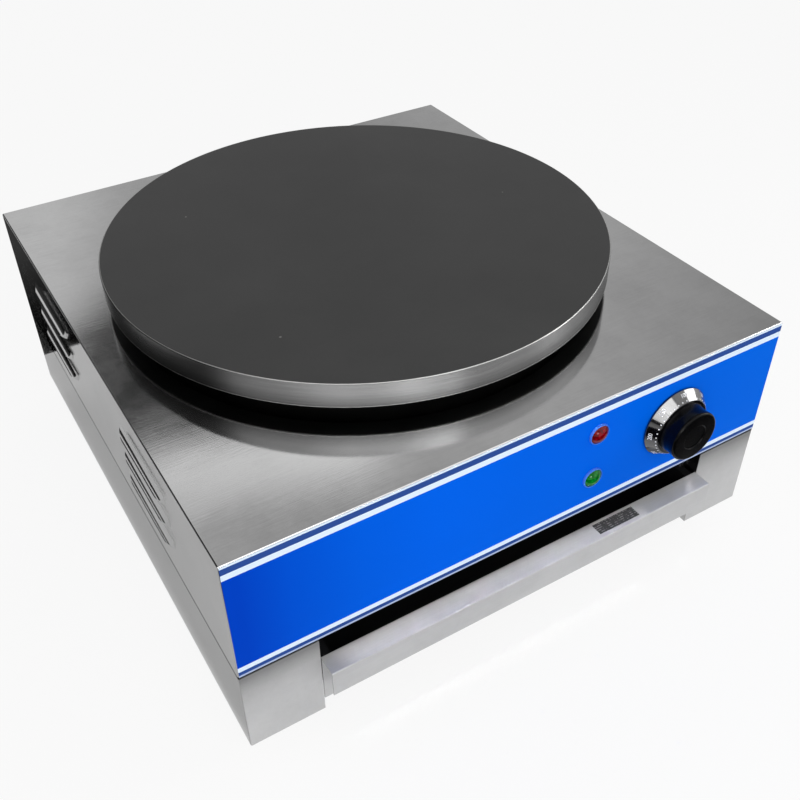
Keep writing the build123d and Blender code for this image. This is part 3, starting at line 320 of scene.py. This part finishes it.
def cast_plate():
    """Seasoned, ground cast iron: dark top with faint rings and a few pale specks, turned rim."""
    s = Shader("seasoned_iron")
    radius = s.radius()
    height_z = s.axis("Z")
    ring_wave = s.math("SINE", s.math("MULTIPLY", radius, 2 * math.pi / RING_PITCH))
    fine = s.noise(420, detail=3)
    cloud = s.noise(7, detail=5, roughness=0.6)
    top = s.ramp(cloud, (0.30, 0.058), (0.55, 0.068), (0.8, 0.081))
    top = s.mix(s.span(fine, 0.45, 0.75, 0.0, 0.2), top, (0.055, 0.055, 0.056))
    speck = s.math("LESS_THAN", s.cells(24), 0.022)
    top = s.mix(s.math("MULTIPLY", speck, 0.75), top, (0.32, 0.32, 0.31))
    under = s.math("LESS_THAN", height_z, plate_high.z - PLATE_TOP)
    top = s.mix(under, top, (0.008, 0.008, 0.008))
    # the turned rim and its chamfer are bare ground metal
    rim = s.span(radius, RIM_START, RIM_FULL)
    rim_colour = s.ramp(s.noise(900, (0.02, 0.02, 6), detail=2), (0.3, 0.185), (0.7, 0.285))
    # painted shade on the lower part of the rim
    rim_shade = s.span(height_z, plate_low.z, plate_low.z + RIM_SHADE_RISE, 0.45, 1.0)
    rim_colour = s.mix(rim_shade, (0, 0, 0), rim_colour)
    # bright rim edges: partly wear, partly painted highlight
    wear_and_sheen_top = s.span(height_z, plate_high.z - EDGE_WEAR_AND_SHEEN, plate_high.z - EDGE_WEAR_AND_SHEEN / 2)
    wear_and_sheen_low = s.span(height_z, plate_low.z + EDGE_WEAR_AND_SHEEN, plate_low.z + EDGE_WEAR_AND_SHEEN / 2)
    wear_and_sheen = s.math("MULTIPLY", rim, s.math("MAXIMUM", wear_and_sheen_top, wear_and_sheen_low))
    colour = s.mix(wear_and_sheen, s.mix(rim, top, rim_colour), (0.62, 0.62, 0.61))
    rough = s.mix(wear_and_sheen, s.mix(rim, (0.42,) * 3, (0.25,) * 3), (0.45,) * 3)
    s.set(Base_Color=colour, Metallic=s.span(rim, 0, 1, 0.35, 1.0), Roughness=rough)
    s.set(Specular_IOR_Level=0.5)
    return s.bump(s.math("ADD", s.math("MULTIPLY", ring_wave, 0.25), fine), 0.08, 0.3 * MM)


def printed_film():
    """Printed front film: a blue field between white and dark blue stripes."""
    s = Shader("printed_film")
    drop = s.math("SUBTRACT", deck_z, s.axis("Z"))
    cloud = s.noise(4, detail=2)
    # painted shade: the blue field darkens towards the left end
    field = s.ramp(s.span(s.axis("X"), film_low.x, film_high.x), *FIELD_BLUES_PAINTED_SHADE)
    field = s.mix(s.span(cloud, 0.3, 0.7, 0.0, 0.06), field, (0, 0, 0))
    dark = s.ramp(cloud, (0.3, scaled(STRIPE_BLUE, 0.9)), (0.7, STRIPE_BLUE))
    colour = s.ramp(cloud, (0.3, scaled(WHITE_INK, 0.97)), (0.7, WHITE_INK))
    bands = [  # each starts this far below the deck, in millimetres
        (2.4, dark), (7.5, WHITE_INK), (12.3, field), (94.5, WHITE_INK), (98.6, dark),
        (101.9, PALE_LINE),
    ]
    for start, band in bands:
        colour = s.mix(s.math("GREATER_THAN", drop, start * MM), colour, band)
    s.set(Base_Color=colour, Roughness=s.span(s.noise(25), 0.3, 0.7, 0.30, 0.38))
    s.set(Specular_IOR_Level=0.01)
    return s.bump(s.noise(260, detail=2), 0.015, 0.1 * MM)


def lens(name, colour):
    """Clear coloured lens over a faceted reflector, whose glints and shade are painted into the colour as
    lighter and deeper cells.
    """
    s = Shader(name)
    facets = s.cells(420)
    facet_glint, facet_shade = scaled(colour, 1.25, 0.01), scaled(colour, 0.5)
    # painted highlight and shade of the reflector's facets
    s.set(Base_Color=s.ramp(facets, (0.0, facet_glint), (0.35, colour), (0.8, facet_shade)))
    s.set(Roughness=0.10, Specular_IOR_Level=0.3)
    return s.bump(facets, 0.04, 0.3 * MM)


def label_foil():
    """Dark foil label with short grey dashes in rows, in place of any print."""
    s = Shader("label_foil")
    rows = s.math("SINE", s.math("MULTIPLY", s.axis("Y"), 2 * math.pi / LABEL_ROW))
    dashes = s.noise(430, (1, 0.35, 1), detail=3, roughness=0.7)
    mark = s.math("MULTIPLY", s.span(rows, -0.1, 0.4), s.span(dashes, 0.48, 0.56))
    s.set(Base_Color=s.mix(mark, (0.028, 0.028, 0.029), (0.20, 0.20, 0.20)), Roughness=0.45)
    return s.bump(s.noise(700, detail=2), 0.03, 0.2 * MM)


def wool():
    s = Shader("mineral_wool")
    fluff = s.noise(500, detail=6, roughness=0.7)
    s.set(Base_Color=s.ramp(fluff, (0.3, (0.55, 0.53, 0.48)), (0.7, (0.85, 0.83, 0.78))))
    s.set(Roughness=0.95)
    return s.bump(fluff, 0.6, 1.0 * MM)


def ink():
    s = Shader("white_ink")
    s.set(Base_Color=s.ramp(s.noise(900), (0.3, 0.78), (0.7, 0.9)), Roughness=0.4)
    return s.material


GRAIN_X = (0.02, 1, 1)  # brushed along X
GRAIN_Y = (1, 0.02, 1)

paint = [
    (brushed_steel("rolled_steel_cover", GRAIN_X, 0.65, 0.09), ["top_cover"]),
    (brushed_steel("rolled_steel_base", GRAIN_Y, 0.57, 0.14, pillars=True),
     ["base_side_left", "base_side_right"]),
    (brushed_steel("rolled_steel_front", GRAIN_X, 0.56, 0.5, dull=0.75), ["tray_front"]),
    (printed_film(), ["panel_overlay"]),
    (cast_plate(), ["griddle_plate"]),
    (plated_steel("plated_sheet"),
     ["bottom_plate", "tray_bay_roof", "rear_cover", "heat_pan", "element_clamp", "bulb_clip",
      "runner_left", "runner_right"]),
    (plated_steel("plated_screws", 0.6, 0.25),
     ["rear_screws", "foot_screws", "foot_nuts", "collar_screws", "collar_nuts", "plate_studs",
      "plate_nuts", "plate_washers", "link_nuts", "clip_screws", "thermostat_screws",
      "thermostat_shaft", "knob_set_screw", "lamp_nuts", "block_screws"]),
    (plated_steel("element_sheath", 0.2, 0.4),
     ["element_inner", "element_middle", "element_outer"]),
    (tinted_metal("brass_parts", (0.75, 0.55, 0.25)),
     ["element_links", "terminal_screws", "bonding_stud", "bonding_nuts", "knob_bushing"]),
    (tinted_metal("copper_parts", (0.75, 0.40, 0.24)), ["sensor_bulb", "capillary_tube"]),
    (moulded("bezel_blue", (0.05, 0.19, 0.74), 0.25, grain=500, depth=0.01), ["lamp_bezels"]),
    (moulded("knob_black", (0.0008, 0.0008, 0.001), 0.16, grain=500, depth=0.002, specular=0.13),
     ["knob_grip"]),
    (moulded("skirt_black", (0.002, 0.002, 0.003), 0.07, grain=500, depth=0.01, coat=1.0, ior=1.8),
     ["knob_skirt"]),
    (moulded("black_plastic", (0.02, 0.02, 0.021), 0.45),
     ["thermostat_body", "lamp_bodies", "cable_gland", "gland_nut"]),
    (moulded("foot_rubber", (0.016, 0.016, 0.016), 0.7, depth=0.2),
     ["foot_front_left", "foot_front_right", "foot_rear_left", "foot_rear_right"]),
    (moulded("black_enamel", (0.001, 0.001, 0.001), 0.45, grain=300, specular=0.06),
     ["collar_ring"]),
    (moulded("tray_enamel", (0.009, 0.009, 0.010), 0.35, grain=300, specular=0.25), ["tray_pan"]),
    (moulded("white_ceramic", (0.72, 0.70, 0.64), 0.5), ["element_bushes", "terminal_block"]),
    (moulded("wire_insulation", (0.62, 0.60, 0.55), 0.55), ["internal_wires"]),
    (label_foil(), ["rating_plate"]),
    (wool(), ["plate_gasket", "insulation_disc"]),
    (lens("red_lens", (0.20, 0.0005, 0.004)), ["red_lens"]),
    (lens("green_lens", (0.0, 0.19, 0.014)), ["green_lens"]),
]
for material, names in paint:
    for name in names:
        slots = nodes[name].material_slots
        for item in slots:
            item.material = material
        if not slots:
            nodes[name].data.materials.append(material)


# ---------------------------------------------------------------- printed dial
def dial_place(clock, radius):
    """Point on the skirt's cone at a clock angle and a radius, with the directions along the
    ring, up the cone and out of it."""
    share = (SKIRT_BACK[0] - radius) / (SKIRT_BACK[0] - SKIRT_FRONT[0])
    out = SKIRT_BACK[1] + share * (SKIRT_FRONT[1] - SKIRT_BACK[1])
    outward = Vector((math.sin(clock), 0, math.cos(clock)))
    along = Vector((math.cos(clock), 0, -math.sin(clock)))
    centre = Vector((knob_centre.x, skirt_high.y - out, knob_centre.z)) + outward * radius
    normal = (outward * math.sin(CONE_ANGLE) + Vector((0, -1, 0)) * math.cos(CONE_ANGLE)).normalized()
    return centre + normal * INK_RISE, along, normal.cross(along).normalized(), normal


def dial_numbers():
    """Numbers printed on the knob's skirt."""
    ink_material = ink()
    placed = []
    for i, number in enumerate(range(0, DIAL_TOP + 1, NUMBER_STEP)):
        text = bpy.data.curves.new(f"dial_{number}", "FONT")
        text.body = str(number)
        text.size = NUMBER_SIZE
        text.align_x = "CENTER"
        text.align_y = "CENTER"
        text.space_character = 0.95
        text.offset = NUMBER_WEIGHT
        made = bpy.data.objects.new(f"dial_number_{number}", text)
        bpy.context.scene.collection.objects.link(made)
        clock = math.radians(FIRST_MARK - STEP_DEGREES * i)
        centre, along, up, normal = dial_place(clock, NUMBER_RING)
        turn = Matrix((along, up, normal)).transposed().to_4x4()
        made.matrix_world = Matrix.Translation(centre) @ turn
        made.data.materials.append(ink_material)
        placed.append(made)
    return placed


def dial_dots():
    """Round dots inside the ring of numbers, five to every step between two numbers."""
    builder = bmesh.new()
    corners_per_dot = 16
    for i in range(DIAL_TOP // NUMBER_STEP * STEP_DEGREES // DOT_DEGREES + 1):
        centre, along, up, _ = dial_place(math.radians(FIRST_MARK - DOT_DEGREES * i), DOT_RING)
        corners = []
        for k in range(corners_per_dot):
            a = 2 * math.pi * k / corners_per_dot
            corners.append(builder.verts.new(centre + (along * math.cos(a) + up * math.sin(a)) * DOT_RADIUS))
        builder.faces.new(corners)
    mesh = bpy.data.meshes.new("dial_dots")
    builder.to_mesh(mesh)
    builder.free()
    made = bpy.data.objects.new("dial_dots", mesh)
    bpy.context.scene.collection.objects.link(made)
    made.data.materials.append(ink())
    return made


for mark in dial_numbers() + [dial_dots()]:
    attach(mark, "knob")


# ---------------------------------------------------------- stage, light, camera
def floor():
    """A plain white floor that keeps a soft share of the object's shadow."""
    bpy.ops.mesh.primitive_grid_add(x_subdivisions=8, y_subdivisions=8, size=8)
    made = bpy.context.object
    made.name = "floor"
    s = Shader("floor_white")
    s.set(Base_Color=(FLOOR_GREY, FLOOR_GREY, FLOOR_GREY, 1), Roughness=0.9, Specular_IOR_Level=0.1)
    glow = s.node("ShaderNodeEmission")
    blend = s.node("ShaderNodeMixShader")
    path = s.node("ShaderNodeLightPath")
    seen = s.math("MULTIPLY", path.outputs["Is Camera Ray"], FLOOR_WHITE)
    mirrored = s.math("MULTIPLY", path.outputs["Is Glossy Ray"], FLOOR_MIRRORED)
    s.link(s.math("MAXIMUM", seen, mirrored), blend.inputs[0])
    s.link(s.bsdf.outputs[0], blend.inputs[1])
    s.link(glow.outputs[0], blend.inputs[2])
    s.link(blend.outputs[0], s.output.inputs["Surface"])
    made.data.materials.append(s.material)


def back_room(room, height, turn):
    """Grey levels behind the object; turn runs from 0 to 1 for 180 degrees."""
    def turned(edge):
        return room.span(turn, edge[0] / 180, edge[1] / 180)

    wall = room.ramp(turn, *[(degrees / 180, tone) for degrees, tone in BACK_WALL])
    bend = SHELF_BEND / 180
    slant = room.math("MULTIPLY", room.math("MAXIMUM", turn, bend), -SHELF_SLOPE)
    lower = room.math("ADD", height, room.math("ADD", slant, SHELF_SLOPE * bend))
    shelf = room.math("MULTIPLY", room.span(lower, *SHELF_LOWER), room.span(height, *SHELF_UPPER))
    shelf = room.math("MULTIPLY", shelf, turned(SHELF_TURNS))
    back = room.mix(shelf, wall, (SHELF_TONE,) * 3)
    strip = room.math("MULTIPLY", room.span(height, *LIGHT_LOWER), room.span(height, *LIGHT_UPPER))
    ends = room.math("MULTIPLY", turned(LIGHT_LEFT), turned(LIGHT_RIGHT))
    return room.mix(room.math("MULTIPLY", strip, ends), back, (1.0, 1.0, 1.0))


def front_room(room, height, across):
    """Grey levels in front of the object."""
    front = room.ramp(room.span(across, -1, 1), *FRONT_WALL)
    front = room.mix(1.0, front, (FRONT_LEVEL,) * 3, "MULTIPLY")
    corner = room.math("MULTIPLY", room.span(height, *DARK_CORNER_TOP),
                       room.span(across, *DARK_CORNER_SIDE))
    return room.mix(corner, front, (DARK_CORNER,) * 3)


def world():
    """A white room to the camera; reflections see a bright front and a patchy dim back."""
    made = bpy.data.worlds.new("studio")
    bpy.context.scene.world = made
    made.use_nodes = True
    room = Nodes(made.node_tree)
    direction = room.node("ShaderNodeSeparateXYZ")
    room.link(room.node("ShaderNodeTexCoord").outputs["Generated"], direction.inputs[0])
    across, depth, height = (direction.outputs[axis] for axis in "XYZ")
    turn = room.math("DIVIDE", room.math("ARCTAN2", depth, across), math.radians(180))
    back = back_room(room, height, turn)
    front = front_room(room, height, across)
    mirrored = room.mix(room.span(depth, *FRONT_STARTS), back, front)
    path = room.node("ShaderNodeLightPath")
    lit = room.mix(path.outputs["Is Glossy Ray"], (DIFFUSE_ROOM,) * 3, mirrored)
    seen = room.math("MAXIMUM", path.outputs["Is Camera Ray"], path.outputs["Is Transmission Ray"])
    room.link(room.mix(seen, lit, (1, 1, 1)), room.tree.nodes["Background"].inputs["Color"])


def softbox(name, place, aim, size, power, along=(1, 0, 0), beam=None):
    """A rectangular light; its long side follows the given direction. A beam, in degrees,
    makes it a narrow light that only dull surfaces see."""
    light = bpy.data.lights.new(name, "AREA")
    light.shape = "RECTANGLE"
    light.size, light.size_y = size
    light.energy = power
    made = bpy.data.objects.new(name, light)
    bpy.context.scene.collection.objects.link(made)
    if beam:
        light.spread = math.radians(beam)
        made.visible_glossy = False
        made.visible_camera = False
    back = (Vector(place) - Vector(aim)).normalized()
    across = (Vector(along) - back * back.dot(Vector(along))).normalized()
    turn = Matrix((across, back.cross(across), back)).transposed().to_4x4()
    made.matrix_world = Matrix.Translation(Vector(place)) @ turn


def card(name, x_span, y_span, *tones):
    """A card lying on the floor, seen only in reflections; tones are (y, grey level)."""
    mesh = bpy.data.meshes.new(name)
    (x0, x1), (y0, y1), height = x_span, y_span, 1.0 * MM
    corners = [(x0, y0, height), (x1, y0, height), (x1, y1, height), (x0, y1, height)]
    mesh.from_pydata(corners, [], [(0, 1, 2, 3)])
    made = bpy.data.objects.new(name, mesh)
    bpy.context.scene.collection.objects.link(made)
    s = Shader(name)
    near, far = -1, 2  # the ramp covers this span of y
    stops = [((y - near) / (far - near), tone) for y, tone in tones]
    s.set(Base_Color=s.ramp(s.span(s.axis("Y"), near, far), *stops), Roughness=0.9)
    s.set(Specular_IOR_Level=0.0)
    made.data.materials.append(s.material)
    made.visible_camera = False
    made.visible_diffuse = False
    made.visible_transmission = False
    made.visible_shadow = False


def camera():
    """Looks down over the front left corner of the body."""
    place = Vector((-0.324224, -0.607986, 0.620059))
    look = Vector((0.397169, 0.665194, -0.632277)).normalized()
    up = Vector((0.334959, 0.536351, 0.774681)).normalized()
    right = look.cross(up).normalized()
    data = bpy.data.cameras.new("camera")
    data.lens = 43.886
    data.sensor_width = 36
    data.clip_start = 0.01
    made = bpy.data.objects.new("camera", data)
    bpy.context.scene.collection.objects.link(made)
    turn = Matrix((right, right.cross(look), -look)).transposed().to_4x4()
    made.matrix_world = Matrix.Translation(place) @ turn
    bpy.context.scene.camera = made


floor()
world()
# name, place, aim, size, power: a wide key light, three strips for the knob's skirt, a small one
# for the lamps, and a beam on the tray's ledge
dial = (0.128, -0.25, 0.152)
softbox("wide", (-0.62, -1.25, 1.12), (0.1, -0.1, 0.1), (2.3, 0.5), 5.2)
softbox("strip_low", (-0.618, -1.195, 0.578), dial, (0.62, 0.09), 0.75, along=(0.56, -0.07, 0.825))
softbox("strip_high", (-0.081, -1.163, 0.992), dial, (0.76, 0.09), 1.0, along=(0.919, 0.131, 0.371))
softbox("right", (0.93, -0.553, 0.513), dial, (0.52, 0.12), 1.7, along=(0.503, 0.478, -0.72))
softbox("glint", (-0.14, -1.31, 0.30), (0.05, -0.245, 0.15), (0.22, 0.14), 2.0)
softbox("tray_beam", (0, -0.251, 0.60), (0, -0.251, 0), (0.31, 0.02), 0.0132, beam=3)
# what the left side and the lower front mirror from the floor
card("flag_rear_left", (-1.6, -0.232), (0.310, 0.85),
     (0.33, 0.002), (0.40, 0.010), (0.55, 0.07), (0.80, 0.09))
card("flag_front", (-0.45, 0.6), (-0.75, -0.325), (-0.365, 0.003), (-0.345, 0.35), (-0.325, 0.80))
card("card_left", (-1.6, -0.232), (-0.334, 0.309), (-0.33, 0.78), (0.3, 0.97))
camera()
bpy.context.scene.view_settings.view_transform = "Standard"
